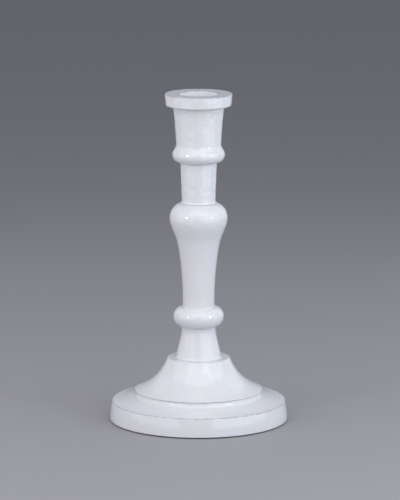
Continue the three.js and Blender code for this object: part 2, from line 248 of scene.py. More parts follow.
def make_turning_tree():
    """Turns an outline about the z axis, as a lathe does, and leaves it slightly uneven by hand."""
    kinds = [("Steps Around", "Int"), ("Unevenness", "Float"), ("Lump Size", "Float"), ("Seed", "Float")]
    tree, given = new_tree("turning", kinds + [("Paint", "Material"), ("Bare Wood", "Material")])
    outline = given["Geometry"]
    rows = add_node(tree, "GeometryNodeAttributeDomainSize", {0: outline}).outputs["Point Count"]
    columns = math_node(tree, "ADD", given["Steps Around"], 1)
    skin = add_node(tree, "GeometryNodeMeshGrid", {"Vertices X": columns, "Vertices Y": rows}).outputs[0]
    index = add_node(tree, "GeometryNodeInputIndex").outputs[0]
    row = math_node(tree, "MODULO", index, rows, kind="FunctionNodeIntegerMath")
    column = math_node(tree, "DIVIDE_FLOOR", index, rows, kind="FunctionNodeIntegerMath")
    share = math_node(tree, "DIVIDE", column, given["Steps Around"])
    angle = math_node(tree, "MULTIPLY", share, 2 * math.pi)
    place = add_node(tree, "GeometryNodeInputPosition").outputs[0]
    sampled = sampled_from(tree, outline, place, row, "FLOAT_VECTOR")
    split = add_node(tree, "ShaderNodeSeparateXYZ", {0: sampled}).outputs
    across = math_node(tree, "MULTIPLY", split["X"], math_node(tree, "COSINE", angle))
    along = math_node(tree, "MULTIPLY", split["X"], math_node(tree, "SINE", angle))
    spun = add_node(tree, "ShaderNodeCombineXYZ", {"X": across, "Y": along, "Z": split["Z"]}).outputs[0]
    skin = add_node(tree, "GeometryNodeSetPosition", {"Geometry": skin, "Position": spun}).outputs[0]
    for label in OUTLINE_VALUES:
        named = add_node(tree, "GeometryNodeInputNamedAttribute", {"Name": label}).outputs[0]
        value = sampled_from(tree, outline, named, row, "FLOAT")
        kept = {"Geometry": skin, "Name": label, "Value": value}
        skin = add_node(tree, "GeometryNodeStoreNamedAttribute", kept).outputs[0]
    seam = {"Geometry": skin, "Distance": SEAM_GAP}
    skin = add_node(tree, "GeometryNodeMergeByDistance", seam).outputs[0]
    skin = unevenly(tree, skin, given)
    skin = shaded_smooth(tree, skin)
    bare = {"Geometry": skin, "Material": given["Bare Wood"]}
    skin = add_node(tree, "GeometryNodeSetMaterial", bare).outputs[0]
    painted = add_node(tree, "GeometryNodeInputNamedAttribute", {"Name": "painted"}).outputs[0]
    under_paint = math_node(tree, "GREATER_THAN", painted, 0.5)
    real = add_node(tree, "GeometryNodeRealizeInstances", {0: skin}).outputs[0]
    coat = {"Geometry": real, "Selection": under_paint, "Material": given["Paint"]}
    add_node(tree, "NodeGroupOutput", {0: add_node(tree, "GeometryNodeSetMaterial", coat).outputs[0]})
    return tree


def sampled_from(tree, geometry, value, index, kind):
    """A value read from one point of a geometry."""
    inputs = {"Geometry": geometry, "Value": value, "Index": index}
    return add_node(tree, "GeometryNodeSampleIndex", inputs, data_type=kind).outputs[0]


def unevenly(tree, skin, given):
    """Moves the painted skin in and out by a little, in soft lumps."""
    place = add_node(tree, "GeometryNodeInputPosition").outputs[0]
    shares = add_node(tree, "ShaderNodeVectorMath", {0: place, "Scale": 1.0}, operation="SCALE")
    tree.links.new(math_node(tree, "DIVIDE", 1.0, given["Lump Size"]), shares.inputs["Scale"])
    lumps = {"Vector": shares.outputs[0], "W": given["Seed"], "Scale": 1.0, "Detail": 1.0}
    noise = add_node(tree, "ShaderNodeTexNoise", lumps, noise_dimensions="4D").outputs[0]
    centred = math_node(tree, "SUBTRACT", noise, 0.5)
    painted = add_node(tree, "GeometryNodeInputNamedAttribute", {"Name": "painted"}).outputs[0]
    depth = math_node(tree, "MULTIPLY", math_node(tree, "MULTIPLY", centred, given["Unevenness"]), painted)
    normal = add_node(tree, "GeometryNodeInputNormal").outputs[0]
    push = add_node(tree, "ShaderNodeVectorMath", {0: normal, "Scale": depth}, operation="SCALE").outputs[0]
    return add_node(tree, "GeometryNodeSetPosition", {"Geometry": skin, "Offset": push}).outputs[0]


def shaded_smooth(tree, skin):
    """Shades a skin smooth, apart from its crisp edges."""
    fold = add_node(tree, "GeometryNodeInputMeshEdgeAngle").outputs[0]
    soft = math_node(tree, "LESS_THAN", fold, math.radians(CRISP_ANGLE))
    inputs = {"Geometry": skin, "Selection": soft, "Shade Smooth": True}
    return add_node(tree, "GeometryNodeSetShadeSmooth", inputs, domain="EDGE").outputs[0]


def add_tree(piece, tree, values):
    """Puts a tree on a piece and sets its named inputs."""
    modifier = piece.modifiers.new(tree.name, "NODES")
    modifier.node_group = tree
    identifiers = {item.name: item.identifier for item in tree.interface.items_tree if item.in_out == "INPUT"}
    for label, value in values.items():
        modifier[identifiers[label]] = value


def settled(piece):
    """Makes a piece's modifiers real and takes them off."""
    depsgraph = bpy.context.evaluated_depsgraph_get()
    mesh = bpy.data.meshes.new_from_object(piece.evaluated_get(depsgraph), depsgraph=depsgraph)
    mesh.name = piece.name
    for index in reversed(range(len(mesh.materials))):
        if mesh.materials[index] is None:
            mesh.materials.pop(index=index)
    piece.modifiers.clear()
    piece.data = mesh
    return piece


def new_piece(name, mesh):
    """An object for a mesh, at the origin."""
    piece = bpy.data.objects.new(name, mesh)
    bpy.context.collection.objects.link(piece)
    return piece


turning = make_turning_tree()


def turn_piece(name, mesh, paint, bare, seed=0.0, steps=TURNED_STEPS, unevenness=0.0):
    """Turns an outline into a piece, still with its live tree."""
    piece = new_piece(name, mesh)
    values = {"Steps Around": steps, "Unevenness": unevenness * MM, "Lump Size": LUMP_SIZE * MM}
    add_tree(piece, turning, {**values, "Seed": seed, "Paint": paint, "Bare Wood": bare})
    return piece


def new_material(name):
    """A material's tree and its surface shader, with the object's own coordinates."""
    material = bpy.data.materials.new(name)
    material.use_nodes = True
    tree = material.node_tree
    tree.nodes.clear()
    shader = tree.nodes.new("ShaderNodeBsdfPrincipled")
    add_node(tree, "ShaderNodeOutputMaterial", {"Surface": shader.outputs[0]})
    place = add_node(tree, "ShaderNodeTexCoord").outputs["Object"]
    return material, tree, shader, place


def stretched(tree, place, scale):
    """Coordinates scaled by three numbers, so that a pattern on them is drawn out."""
    return add_node(tree, "ShaderNodeMapping", {"Vector": place, "Scale": scale}).outputs[0]


def noise_on(tree, place, scale, detail=2.0, roughness=0.5):
    """A soft random pattern, with scale in features per metre."""
    inputs = {"Vector": place, "Scale": scale, "Detail": detail, "Roughness": roughness}
    return add_node(tree, "ShaderNodeTexNoise", inputs).outputs[0]


def ramp(tree, value, low, high):
    """0 where a value is below low, 1 above high, and smooth between."""
    inputs = {"Value": value, "From Min": low, "From Max": high}
    return add_node(tree, "ShaderNodeMapRange", inputs, interpolation_type="SMOOTHSTEP").outputs[0]


def blend(tree, share, first, second):
    """One colour over another by a share."""
    node = add_node(tree, "ShaderNodeMix", {0: share}, data_type="RGBA")
    for socket, value in ((6, first), (7, second)):
        if isinstance(value, bpy.types.NodeSocket):
            tree.links.new(value, node.inputs[socket])
        else:
            node.inputs[socket].default_value = (*value, 1)
    return node.outputs[2]


def value_named(tree, label):
    """A value that the turning tree left on the skin."""
    return add_node(tree, "ShaderNodeAttribute", attribute_name=label).outputs["Fac"]


def bumped(tree, shader, height, distance):
    """Raises a shader's surface by a height pattern, up to a distance in metres."""
    bump = add_node(tree, "ShaderNodeBump", {"Height": height, "Distance": distance, "Strength": 1.0})
    tree.links.new(bump.outputs[0], shader.inputs["Normal"])


ENAMEL_WHITE = (0.725, 0.74, 0.775)
ENAMEL_CREAM = (0.745, 0.73, 0.71)
ENAMEL_THIN = (0.28, 0.31, 0.40)  # undercoat and wood showing through at a rubbed arris
ENAMEL_DUST_AND_SHADE = (0.28, 0.29, 0.32)  # painted shade in a crease, darkest under an overhang, with the dust and old polish held there
ENAMEL_SUNK_AND_SHADED = (0.50, 0.515, 0.565)  # dry paint on end grain, darkened further as painted shade of the rim's top face
ENAMEL_IOR = 1.62  # a hard, highly glossy coat
CLOUD_SCALE = 70  # in features per metre, as all the scales below
CLOUD_EDGES = (0.42, 0.68)
CLOUD_SHARE = 0.45  # how far a cloud turns the white to cream
DUST_AND_SHADE_EDGES = (0.1, 0.3)  # depths at which a crease begins to darken with dust and painted shade, and is fully darkened
DUST_AND_SHADE_COVER = 0.8  # how far that dust and painted shade hide the enamel
PORE_SCALE = 900
PORE_RUN = (1, 1, 0.05)  # pores are drawn out up the grain
PORE_EDGES = (0.4, 0.6)
PORE_SUNK = -0.5  # paint over an open pore sinks this much less
CHIP_SCALE = 420
CHIP_SPREAD = 0.36  # how unevenly an arris is rubbed
CHIP_SHIFT = -0.17  # which brings the middle of that spread near 0
RUB_EDGES = (0.08, 0.26)  # sharpness at which an arris begins to rub through and is rubbed through
RUB_COVER = 0.85
SHEEN_SCALE = 160
SHEEN_SPREAD = 0.08
SHEEN_LEAST = 0.0  # roughness where the paint flowed out best
HANDLED_EDGES = (0.04, 0.12)  # sharpness at which an arris begins to dull and is dull
DULLED = 0.4
STROKE_SCALE = 1500
STROKE_RUN = (1, 1, 0.12)  # brush strokes are drawn out too
DRY_GRAIN = 3.0  # height of the dry grain, against that of the strokes
STROKE_HEIGHT = 0.0000012  # in metres, as all the heights of surface patterns


def make_enamel(name, white, cream):
    """Brushed gloss enamel: whiter and creamier in clouds, thin and grey on arrises, darkened in creases by
    dust and painted shade, and dull and greyer where end grain drank the first coat, that grey partly painted
    shade."""
    material, tree, shader, place = new_material(name)
    clouds = ramp(tree, noise_on(tree, place, CLOUD_SCALE, 3.0), *CLOUD_EDGES)
    colour = blend(tree, math_node(tree, "MULTIPLY", clouds, CLOUD_SHARE), white, cream)
    # painted shade: creases darken towards a dark grey, most under an overhang, together with some dust
    crease = ramp(tree, value_named(tree, "crease"), *DUST_AND_SHADE_EDGES)
    colour = blend(tree, math_node(tree, "MULTIPLY", crease, DUST_AND_SHADE_COVER), colour, ENAMEL_DUST_AND_SHADE)
    dry = value_named(tree, "dry")
    pores = ramp(tree, noise_on(tree, stretched(tree, place, PORE_RUN), PORE_SCALE, 5.0, 0.65), *PORE_EDGES)
    # painted shade: the dry end grain on the rim's top is greyed beyond its own dullness
    sunk_and_shaded = math_node(tree, "MULTIPLY", dry, math_node(tree, "MULTIPLY_ADD", pores, PORE_SUNK, 1.0))
    colour = blend(tree, sunk_and_shaded, colour, ENAMEL_SUNK_AND_SHADED)
    broken = math_node(tree, "MULTIPLY_ADD", noise_on(tree, place, CHIP_SCALE, 3.0), CHIP_SPREAD, CHIP_SHIFT)
    thin = ramp(tree, math_node(tree, "ADD", value_named(tree, "arris"), broken), *RUB_EDGES)
    colour = blend(tree, math_node(tree, "MULTIPLY", thin, RUB_COVER), colour, ENAMEL_THIN)
    tree.links.new(colour, shader.inputs["Base Color"])
    sheen = noise_on(tree, place, SHEEN_SCALE, 3.0)
    sheen = math_node(tree, "MULTIPLY_ADD", sheen, SHEEN_SPREAD, SHEEN_LEAST)
    handled = ramp(tree, value_named(tree, "arris"), *HANDLED_EDGES)
    dulled = math_node(tree, "MULTIPLY_ADD", math_node(tree, "ADD", dry, handled), DULLED, sheen)
    tree.links.new(dulled, shader.inputs["Roughness"])
    strokes = noise_on(tree, stretched(tree, place, STROKE_RUN), STROKE_SCALE, 3.0)
    grain = math_node(tree, "MULTIPLY", pores, math_node(tree, "MULTIPLY", dry, DRY_GRAIN))
    bumped(tree, shader, math_node(tree, "ADD", strokes, grain), STROKE_HEIGHT)
    shader.inputs["IOR"].default_value = ENAMEL_IOR
    return material


BEECH_PALE = (0.60, 0.40, 0.235)
BEECH_DARK = (0.42, 0.25, 0.13)
GRAIN_SCALE = 520
GRAIN_RUN = (1, 1, 0.06)  # growth lines run up the grain
GRAIN_EDGES = (0.35, 0.7)
GRAIN_HEIGHT = 0.00004
FLECK_SCALE = 1900
FLECK_RUN = (1, 1, 0.22)
FLECK_EDGES = (0.62, 0.7)
FLECK_COVER = 0.6
BEECH_ROUGHNESS = 0.55
BEECH_ROUGHNESS_SPREAD = 0.2


def make_beech(name):
    """Bare beech: pinkish straw, with fine growth lines up the grain and short dark ray flecks."""
    material, tree, shader, place = new_material(name)
    lines = noise_on(tree, stretched(tree, place, GRAIN_RUN), GRAIN_SCALE, 4.0, 0.6)
    rays = noise_on(tree, stretched(tree, place, FLECK_RUN), FLECK_SCALE, 1.0)
    flecks = ramp(tree, rays, *FLECK_EDGES)
    colour = blend(tree, ramp(tree, lines, *GRAIN_EDGES), BEECH_PALE, BEECH_DARK)
    colour = blend(tree, math_node(tree, "MULTIPLY", flecks, FLECK_COVER), colour, BEECH_DARK)
    tree.links.new(colour, shader.inputs["Base Color"])
    rough = math_node(tree, "MULTIPLY_ADD", lines, BEECH_ROUGHNESS_SPREAD, BEECH_ROUGHNESS)
    tree.links.new(rough, shader.inputs["Roughness"])
    bumped(tree, shader, lines, GRAIN_HEIGHT)
    return material


gloss_enamel = make_enamel("gloss_enamel", ENAMEL_WHITE, ENAMEL_CREAM)
bare_beech = make_beech("bare_beech")


def base_dowel_angles():
    """The angles at which the base dowels stand round the middle."""
    return [math.pi / 2 + 2 * math.pi * index / BASE_DOWEL_COUNT for index in range(BASE_DOWEL_COUNT)]


def cut_away(piece, tool_mesh):
    """Takes the shape of a tool out of a piece."""
    tool = new_piece("tool", tool_mesh)
    cut = piece.modifiers.new("cut", "BOOLEAN")
    cut.object, cut.solver, cut.material_mode = tool, "EXACT", "TRANSFER"
    settled(piece)
    bpy.data.objects.remove(tool)


def bore_dowel_holes(board, joint_height):
    """Bores the holes for the base dowels in a board, across its joint with the other."""
    for angle in base_dowel_angles():
        mesh = bpy.data.meshes.new("drill")
        shape = bmesh.new()
        radius, depth = BASE_DOWEL_HOLE_RADIUS * MM, 2 * BASE_DOWEL_HOLE_DEPTH * MM
        size = {"radius1": radius, "radius2": radius, "depth": depth}
        bmesh.ops.create_cone(shape, cap_ends=True, segments=DRILL_FACETS, **size)
        across = BASE_DOWEL_CIRCLE * MM
        middle = (across * math.cos(angle), across * math.sin(angle), joint_height)
        bmesh.ops.translate(shape, verts=shape.verts, vec=middle)
        shape.to_mesh(mesh)
        shape.free()
        mesh.materials.append(bare_beech)
        cut_away(board, mesh)


def finish_piece(piece, node):
    """Hands a finished piece over: it stands still, in place of one CAD node."""
    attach(piece, "root")
    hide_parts(node)


def make_plinth():
    outline = [Vector((BASE_SCREW_HOLE_RADIUS, MORTISE_FLOOR))]
    lines_to(outline, (BASE_SCREW_HOLE_RADIUS, COUNTERBORE_ROOF), (COUNTERBORE_RADIUS, COUNTERBORE_ROOF))
    lines_to(outline, (COUNTERBORE_RADIUS, FELT_RECESS_DEPTH), (FELT_RECESS_RADIUS, FELT_RECESS_DEPTH))
    lines_to(outline, (FELT_RECESS_RADIUS, 0), (PLINTH_FOOT_RADIUS - PLINTH_FOOT_ROUND, 0))
    lines_to(outline, (PLINTH_FOOT_RADIUS, PLINTH_FOOT_ROUND))
    sweep_to(outline, PLINTH_ARRIS_RADIUS, PLINTH_SIDE_HEIGHT, 91, 0.4, 101, 0.4)
    sweep_to(outline, COVE_FOOT_RADIUS, COVE_FOOT_HEIGHT, 173, 0.4, 162, 0.3)
    sweep_to(outline, COVE_TOP_RADIUS, PLINTH_HEIGHT, 142, 0.2, 92, 0.8)
    lines_to(outline, (MORTISE_RADIUS, PLINTH_HEIGHT), (MORTISE_RADIUS, MORTISE_FLOOR))
    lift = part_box("plinth")[0].z / MM

    def painted(point):
        outside = point.y > UNDERSIDE or point.x > FELT_RECESS_RADIUS + PAINT_CREEP
        return outside and point.x > COVE_TOP_RADIUS - PAINT_CREEP

    mesh = outline_mesh("painted_plinth", outline, lift, painted, closed=True)
    brushing = {"seed": PLINTH_SEED, "steps": PLINTH_STEPS, "unevenness": PLINTH_LUMPS * BRUSHED}
    piece = settled(turn_piece("painted_plinth", mesh, gloss_enamel, bare_beech, **brushing))
    bore_dowel_holes(piece, (lift + PLINTH_HEIGHT) * MM)
    finish_piece(piece, "plinth")


make_plinth()


# ---- Dome -----------------------------------------------------------------------------------------
# The upper board of the base: a second beech disc, turned to a hollow-sided dome with a knife edge at
# its foot and a small flat on top for the stem. It is glued to the plinth on three dowels.

DOME_HEIGHT = 18.95
DOME_RADIUS = 36.95
DOME_EDGE_HEIGHT = 0.2
PLATFORM_RADIUS = 18.15
PLATFORM_ROUND = 0.35
STEM_FOOT_RADIUS = 14.6
DOME_PAINT_ROUND = 0.16
PLATFORM_WEAR = 0.65  # the platform's arris is rubbed less than the plinth's, and
DOME_EDGE_WEAR = 0.25  # the knife edge is out of the way of hands
DOME_STEPS = 224
DOME_SEED = 2.0
DOME_LUMPS = 0.4
DOME_PAINT_CREEP = 4  # paint runs further in under the knife edge
DOME_FACE = 0.05  # this near to its top is on the platform
DOME_UNDERSIDE = 0.04
MORTISE_LIP = 0.1  # this near to the mortise is its wall


def make_dome():
    outline = [Vector((MORTISE_RADIUS, 0))]
    lines_to(outline, (DOME_RADIUS - DOME_EDGE_HEIGHT / 2, 0), (DOME_RADIUS, DOME_EDGE_HEIGHT / 2))
    lines_to(outline, (DOME_RADIUS - DOME_EDGE_HEIGHT / 2, DOME_EDGE_HEIGHT))
    sweep_to(outline, PLATFORM_RADIUS, DOME_HEIGHT - PLATFORM_ROUND, 158, 0.29, 112, 0.46)
    lines_to(outline, (PLATFORM_RADIUS - PLATFORM_ROUND, DOME_HEIGHT), (MORTISE_RADIUS, DOME_HEIGHT))
    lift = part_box("dome")[0].z / MM

    def painted(point):
        under_stem = point.y > DOME_HEIGHT - DOME_FACE and point.x < STEM_FOOT_RADIUS - PAINT_CREEP
        above_joint = point.y > DOME_UNDERSIDE or point.x > DOME_RADIUS - DOME_PAINT_CREEP
        return point.x > MORTISE_RADIUS + MORTISE_LIP and above_joint and not under_stem

    def worn(point):
        return PLATFORM_WEAR if point.y > DOME_HEIGHT / 2 else DOME_EDGE_WEAR

    shape = {"worn": worn, "closed": True, "paint_round": DOME_PAINT_ROUND}
    mesh = outline_mesh("painted_dome", outline, lift, painted, **shape)
    brushing = {"seed": DOME_SEED, "steps": DOME_STEPS, "unevenness": DOME_LUMPS * BRUSHED}
    piece = settled(turn_piece("painted_dome", mesh, gloss_enamel, bare_beech, **brushing))
    bore_dowel_holes(piece, lift * MM)
    finish_piece(piece, "dome")


make_dome()


# ---- Base dowels ----------------------------------------------------------------------------------
# Three short beech dowels that line the two boards up and hold them. They are bought in, compressed
# and fluted along their sides so that spare glue can get out, with a chamfer at each end.

BASE_DOWEL_RADIUS = 3
BASE_DOWEL_LENGTH = 16
BASE_DOWEL_CHAMFER = 0.6
BASE_DOWEL_FLUTES = 18
FLUTE_DEPTH = 0.22
STEPS_PER_FLUTE = 6


def make_fluting_tree():
    """Presses straight flutes into the side of a pin that stands on the z axis."""
    kinds = [("Flutes", "Float"), ("Depth", "Float"), ("Foot", "Float"), ("Top", "Float"), ("Fade", "Float")]
    tree, given = new_tree("fluting", kinds + [("Wood", "Material")])
    place = add_node(tree, "GeometryNodeInputPosition").outputs[0]
    split = add_node(tree, "ShaderNodeSeparateXYZ", {0: place}).outputs
    angle = math_node(tree, "ARCTAN2", split["Y"], split["X"])
    wave = math_node(tree, "COSINE", math_node(tree, "MULTIPLY", angle, given["Flutes"]))
    groove = math_node(tree, "POWER", math_node(tree, "MULTIPLY_ADD", wave, 0.5, 0.5), 0.6)
    pushed = radial_push(tree, given, split, math_node(tree, "MULTIPLY", groove, -1.0))
    close_tree(tree, pushed, given["Wood"])
    return tree


def radial_push(tree, given, split, pattern):
    """Moves the side of a pin out by a pattern of 0 to 1 times its depth, fading at both ends."""
    above_foot = math_node(tree, "SUBTRACT", split["Z"], given["Foot"])
    below_top = math_node(tree, "SUBTRACT", given["Top"], split["Z"])
    inside = math_node(tree, "MINIMUM", above_foot, below_top)
    faded = math_node(tree, "DIVIDE", inside, given["Fade"])
    share = add_node(tree, "ShaderNodeClamp", {"Value": faded}).outputs[0]
    depth = math_node(tree, "MULTIPLY", math_node(tree, "MULTIPLY", pattern, share), given["Depth"])
    level = add_node(tree, "ShaderNodeCombineXYZ", {"X": split["X"], "Y": split["Y"]}).outputs[0]
    outward = add_node(tree, "ShaderNodeVectorMath", {0: level}, operation="NORMALIZE").outputs[0]
    push = add_node(tree, "ShaderNodeVectorMath", {0: outward, "Scale": depth}, operation="SCALE").outputs[0]
    moved = {"Geometry": given["Geometry"], "Offset": push}
    return add_node(tree, "GeometryNodeSetPosition", moved).outputs[0]


fluting = make_fluting_tree()


def make_fluted_dowel(name, radius, length, chamfer, flutes, lift):
    """A fluted dowel that stands on the z axis, with its foot at a height in millimetres."""
    outline = [Vector((0, 0))]
    lines_to(outline, (radius - chamfer, 0), (radius, chamfer), (radius, length - chamfer))
    lines_to(outline, (radius - chamfer, length), (0, length))
    mesh = outline_mesh(name, outline, lift, lambda point: False)
    piece = turn_piece(name, mesh, bare_beech, bare_beech, steps=flutes * STEPS_PER_FLUTE)
    foot, top = (lift + chamfer) * MM, (lift + length - chamfer) * MM
    sizes = {"Flutes": float(flutes), "Depth": FLUTE_DEPTH * MM, "Foot": foot, "Top": top}
    add_tree(piece, fluting, {**sizes, "Fade": chamfer * MM, "Wood": bare_beech})
    return settled(piece)


def make_base_dowels():
    for number, angle in enumerate(base_dowel_angles(), start=1):
        name = f"fluted_base_dowel_{number}"
        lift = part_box(f"base_dowel_{number}")[0].z / MM
        sizes = (BASE_DOWEL_RADIUS, BASE_DOWEL_LENGTH, BASE_DOWEL_CHAMFER, BASE_DOWEL_FLUTES)
        piece = make_fluted_dowel(name, *sizes, lift)
        across = BASE_DOWEL_CIRCLE * MM
        for vertex in piece.data.vertices:
            vertex.co.x += across * math.cos(angle)
            vertex.co.y += across * math.sin(angle)
        finish_piece(piece, f"base_dowel_{number}")


make_base_dowels()


# ---- Stem -----------------------------------------------------------------------------------------
# One length of beech, turned between centres: a tenon that goes down through the dome into the
# plinth, a tapered neck, a bead, a short waist and a long flare that swells into the bulb.

TENON_RADIUS = 8
TENON_LENGTH = 25.9
TENON_CHAMFER = 1
SCREW_HOLE_TAPER = 2.5
SCREW_HOLE_END = 9.3  # above the shoulder
NECK_FOOT_RADIUS = 12.95
NECK_FOOT_HEIGHT = 0.9
NECK_TOP_RADIUS = 9.94
NECK_HEIGHT = 18.15
LOWER_BEAD_RADIUS = 14.68
LOWER_BEAD_ROUND = 5.84
WAIST_RADIUS = 9.19
WAIST_LENGTH = 4.48
FLARE_RADIUS = 13.79
FLARE_HEIGHT = 37.77
BULB_RADIUS = 16.71
BULB_RISE = 9.89
SHOULDER_ROUND = 8.71
SHOULDER_HEIGHT = 8.66
STEM_DOWEL_HOLE_RADIUS = 5.15
STEM_DOWEL_HOLE_DEPTH = 15
SKIRT_WIDTH = 0.3  # how far the paint spreads out from a joint between two turned pieces
SKIRT_DEPTH = 0.14  # how far it fills the joint
STEM_SEED = 12.5
STEM_LUMPS = 0.4
FOOT_FACE = 0.03  # lower than this is the foot's underside or the tenon
FOOT_PAINT_CREEP = 2
WAIST_INSIDE = 0.5  # further inside the waist than this is the tenon or a hole, and bare


def bead_to(outline, centre_radius, centre_height, round_radius, from_angle, to_angle):
    """Rounds a bead outwards about its centre, from one angle to another, in degrees."""
    steps = math.ceil(math.radians(to_angle - from_angle) * round_radius / FINE_STEP)
    for step in range(steps + 1):
        angle = math.radians(from_angle + (to_angle - from_angle) * step / steps)
        radius = centre_radius + round_radius * math.cos(angle)
        outline.append(Vector((radius, centre_height + round_radius * math.sin(angle))))


def angle_over_radius(centre_radius, round_radius, radius):
    """The angle, in degrees, at which a bead's rounding stands over a radius."""
    return math.degrees(math.acos((radius - centre_radius) / round_radius))


def paint_skirt_onto(outline, radius):
    """The underside of a turned foot, out to the paint that has run down into the joint below it."""
    lines_to(outline, (radius - SKIRT_WIDTH, 0), (radius, -SKIRT_DEPTH), (radius + SKIRT_WIDTH, -SKIRT_DEPTH))


def clear_of_joint(point):
    """Wear stops short of a foot's joint, where the paint is thick."""
    return point.y > 2 * SKIRT_WIDTH


def lower_bead_onto(outline, bead_height):
    """The neck and the bead above it."""
    centre = LOWER_BEAD_RADIUS - LOWER_BEAD_ROUND
    start = angle_over_radius(centre, LOWER_BEAD_ROUND, NECK_TOP_RADIUS)
    end = angle_over_radius(centre, LOWER_BEAD_ROUND, WAIST_RADIUS)
    neck_top = bead_height - LOWER_BEAD_ROUND * math.sin(math.radians(start))
    sweep_to(outline, NECK_TOP_RADIUS, neck_top, 100, 0.35, 84, 0.28)
    bead_to(outline, centre, bead_height, LOWER_BEAD_ROUND, -start, end)


def make_stem():
    bead_height = NECK_HEIGHT + LOWER_BEAD_ROUND
    flare_foot = bead_height + LOWER_BEAD_ROUND + WAIST_LENGTH
    bulb_height = flare_foot + FLARE_HEIGHT + BULB_RISE
    stem_height = bulb_height + SHOULDER_HEIGHT
    outline = [Vector((0, SCREW_HOLE_END))]
    lines_to(outline, (BASE_SCREW_HOLE_RADIUS, SCREW_HOLE_END - SCREW_HOLE_TAPER))
    lines_to(outline, (BASE_SCREW_HOLE_RADIUS, -TENON_LENGTH), (TENON_RADIUS - TENON_CHAMFER, -TENON_LENGTH))
    lines_to(outline, (TENON_RADIUS, TENON_CHAMFER - TENON_LENGTH), (TENON_RADIUS, 0))
    paint_skirt_onto(outline, STEM_FOOT_RADIUS)
    sweep_to(outline, NECK_FOOT_RADIUS, NECK_FOOT_HEIGHT, 172, 0.4, 100, 0.4)
    lower_bead_onto(outline, bead_height)
    lines_to(outline, (WAIST_RADIUS, flare_foot))
    sweep_to(outline, FLARE_RADIUS, flare_foot + FLARE_HEIGHT, 90, 0.25, 67, 0.22)
    sweep_to(outline, BULB_RADIUS, bulb_height, 67, 0.62, 90, 0.25)
    shoulder_end = math.degrees(math.asin(SHOULDER_HEIGHT / SHOULDER_ROUND))
    bead_to(outline, BULB_RADIUS - SHOULDER_ROUND, bulb_height, SHOULDER_ROUND, 0, shoulder_end)
    hole_floor = stem_height - STEM_DOWEL_HOLE_DEPTH
    lines_to(outline, (STEM_DOWEL_HOLE_RADIUS, stem_height), (STEM_DOWEL_HOLE_RADIUS, hole_floor))
    lines_to(outline, (0, hole_floor))
    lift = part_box("lower_stem")[0].z / MM + TENON_LENGTH

    def painted(point):
        under_foot = point.y < FOOT_FACE and point.x < STEM_FOOT_RADIUS - FOOT_PAINT_CREEP
        return not under_foot and point.x > WAIST_RADIUS - WAIST_INSIDE

    mesh = outline_mesh("painted_stem", outline, lift, painted, worn=clear_of_joint)
    brushing = {"seed": STEM_SEED, "unevenness": STEM_LUMPS * BRUSHED}
    piece = settled(turn_piece("painted_stem", mesh, gloss_enamel, bare_beech, **brushing))
    finish_piece(piece, "lower_stem")


make_stem()


# ---- Washer and base screw ------------------------------------------------------------------------
# A slotted steel screw goes up through a washer in the counterbore and draws the tenon down into the
# base while the glue sets. Both are zinc-plated; the thread is rolled, and the washer is stamped.

WASHER_RADIUS = 8.5
WASHER_THICKNESS = 1.2
WASHER_BURR = 0.25
WASHER_ROUND = 0.1
BASE_SCREW = {
    "radius": 2.5,
    "core": 1.8,
    "pitch": 2.4,
    "length": 40,
    "threaded": 27,
    "point": 5,
    "head_radius": 4.6,
    "head_height": 2.8,
    "slot_width": 1.1,
    "slot_depth": 1.3,
}
HARDWARE_STEPS = 72
THREAD_STEP = 0.2  # spacing of the points along a threaded shank
HEAD_EDGE = 0.15  # blunt edge round a screw's head
SHANK_EASE = 0.1  # how much thinner the plain shank is than the thread
SHANK_TAPER = 0.6

ZINC = (0.55, 0.56, 0.58)
ZINC_DULL = (0.36, 0.36, 0.37)
BLOOM_SCALE = 380
BLOOM_EDGES = (0.4, 0.66)
ZINC_ROUGHNESS = 0.28
BLOOM_ROUGHNESS = 0.2  # added where the plate has bloomed
TOOLING_SCALE = 4200
TOOLING_HEIGHT = 0.000008


def make_zinc(name):
    """Zinc plate: a dull silver sheen with darker blooms, and fine tooling marks."""
    material, tree, shader, place = new_material(name)
    bloom = ramp(tree, noise_on(tree, place, BLOOM_SCALE, 4.0, 0.6), *BLOOM_EDGES)
    tree.links.new(blend(tree, bloom, ZINC, ZINC_DULL), shader.inputs["Base Color"])
    rough = math_node(tree, "MULTIPLY_ADD", bloom, BLOOM_ROUGHNESS, ZINC_ROUGHNESS)
    tree.links.new(rough, shader.inputs["Roughness"])
    shader.inputs["Metallic"].default_value = 1.0
    bumped(tree, shader, noise_on(tree, place, TOOLING_SCALE, 2.0), TOOLING_HEIGHT)
    return material


zinc_steel = make_zinc("zinc_steel")


def make_threading_tree():
    """Raises a right-hand screw thread on a shank that stands on the z axis."""
    kinds = [("Pitch", "Float"), ("Depth", "Float"), ("Foot", "Float"), ("Top", "Float"), ("Fade", "Float")]
    tree, given = new_tree("threading", kinds + [("Metal", "Material")])
    place = add_node(tree, "GeometryNodeInputPosition").outputs[0]
    split = add_node(tree, "ShaderNodeSeparateXYZ", {0: place}).outputs
    angle = math_node(tree, "ARCTAN2", split["Y"], split["X"])
    turns = math_node(tree, "MULTIPLY", angle, 1 / (2 * math.pi))
    rise = math_node(tree, "DIVIDE", split["Z"], given["Pitch"])
    phase = math_node(tree, "FRACT", math_node(tree, "SUBTRACT", rise, turns))
    ridge = math_node(tree, "ABSOLUTE", math_node(tree, "MULTIPLY_ADD", phase, 2.0, -1.0))
    sharp = math_node(tree, "MAXIMUM", math_node(tree, "MULTIPLY_ADD", ridge, 2.0, -1.0), 0.0)
    close_tree(tree, radial_push(tree, given, split, sharp), given["Metal"])
    return tree


threading = make_threading_tree()


